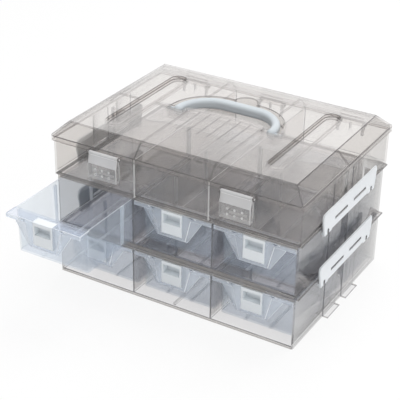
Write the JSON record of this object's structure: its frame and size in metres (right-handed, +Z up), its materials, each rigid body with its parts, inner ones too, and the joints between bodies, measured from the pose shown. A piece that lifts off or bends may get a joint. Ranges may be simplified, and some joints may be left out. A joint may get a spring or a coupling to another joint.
{
  "type": "art supply box",
  "caption": "Clear stacking art supply box: a hinged lid with a folding carry handle over a divided tray, clipped to tiers of sliding drawers with finger pulls.",
  "frame": {"origin": "middle of the box's footprint on the standing surface, under the crossed ribs of the lower tier's floor", "axes": "+Z up, +X to the right along the drawer fronts, drawers open towards -Y"},
  "size_m": [0.348, 0.3559, 0.2099],
  "materials": {
    "smoke": "clear smoke-grey, polished",
    "drawer_clear": "clear with a bluish cast, polished",
    "white": "opaque white, satin"
  },
  "bodies": {
    "box": {"lower_frame": "smoke", "upper_frame": "smoke", "top_tray": "smoke", "tray_divider_left": "smoke", "tray_divider_centre": "smoke", "tray_divider_right": "smoke"},
    "lid": {"lid": "smoke"},
    "handle": {"carry_handle": "white"},
    "latch_left": {"latch_left": "smoke"},
    "latch_right": {"latch_right": "smoke"},
    "clip_left_lower": {"clip_left_lower": "white"},
    "clip_left_upper": {"clip_left_upper": "white"},
    "clip_right_lower": {"clip_right_lower": "white"},
    "clip_right_upper": {"clip_right_upper": "white"},
    "drawer_lower_left": {"drawer_lower_left": "drawer_clear", "pull_lower_left": "white"},
    "drawer_lower_centre": {"drawer_lower_centre": "drawer_clear", "pull_lower_centre": "white"},
    "drawer_lower_right": {"drawer_lower_right": "drawer_clear", "pull_lower_right": "white"},
    "drawer_upper_left": {"drawer_upper_left": "drawer_clear", "pull_upper_left": "white"},
    "drawer_upper_centre": {"drawer_upper_centre": "drawer_clear", "pull_upper_centre": "white"},
    "drawer_upper_right": {"drawer_upper_right": "drawer_clear", "pull_upper_right": "white"}
  },
  "joints": [
    {"name": "lid_hinge", "type": "hinge", "parent": "box", "child": "lid", "pos_m": [0, 0.1279, 0.1815], "axis": [-1, 0, 0], "range_deg": [0, 105]},
    {"name": "handle_pivot", "type": "hinge", "parent": "lid", "child": "handle", "pos_m": [0, -0.001, 0.2037], "axis": [1, 0, 0], "range_deg": [0, 90]},
    {"name": "latch_left_pivot", "type": "hinge", "parent": "lid", "child": "latch_left", "pos_m": [-0.0895, -0.1283, 0.1872], "axis": [-1, 0, 0], "range_deg": [0, 80]},
    {"name": "latch_right_pivot", "type": "hinge", "parent": "lid", "child": "latch_right", "pos_m": [0.0895, -0.1283, 0.1872], "axis": [-1, 0, 0], "range_deg": [0, 80]},
    {"name": "clip_left_lower_pivot", "type": "hinge", "parent": "box", "child": "clip_left_lower", "pos_m": [-0.1694, 0.0035, 0.0616], "axis": [0, -1, 0], "range_deg": [0, 100]},
    {"name": "clip_left_upper_pivot", "type": "hinge", "parent": "box", "child": "clip_left_upper", "pos_m": [-0.1694, 0.0035, 0.1312], "axis": [0, -1, 0], "range_deg": [0, 100]},
    {"name": "clip_right_lower_pivot", "type": "hinge", "parent": "box", "child": "clip_right_lower", "pos_m": [0.1694, 0.0035, 0.0616], "axis": [0, 1, 0], "range_deg": [0, 100]},
    {"name": "clip_right_upper_pivot", "type": "hinge", "parent": "box", "child": "clip_right_upper", "pos_m": [0.1694, 0.0035, 0.1312], "axis": [0, 1, 0], "range_deg": [0, 100]},
    {"name": "drawer_lower_left_slide", "type": "slide", "parent": "box", "child": "drawer_lower_left", "axis": [0, -1, 0], "range_m": [0, 0.16]},
    {"name": "drawer_lower_centre_slide", "type": "slide", "parent": "box", "child": "drawer_lower_centre", "axis": [0, -1, 0], "range_m": [0, 0.16]},
    {"name": "drawer_lower_right_slide", "type": "slide", "parent": "box", "child": "drawer_lower_right", "axis": [0, -1, 0], "range_m": [0, 0.16]},
    {"name": "drawer_upper_left_slide", "type": "slide", "parent": "box", "child": "drawer_upper_left", "axis": [0, -1, 0], "range_m": [-0.104, 0.056]},
    {"name": "drawer_upper_centre_slide", "type": "slide", "parent": "box", "child": "drawer_upper_centre", "axis": [0, -1, 0], "range_m": [0, 0.16]},
    {"name": "drawer_upper_right_slide", "type": "slide", "parent": "box", "child": "drawer_upper_right", "axis": [0, -1, 0], "range_m": [0, 0.16]}
  ]
}
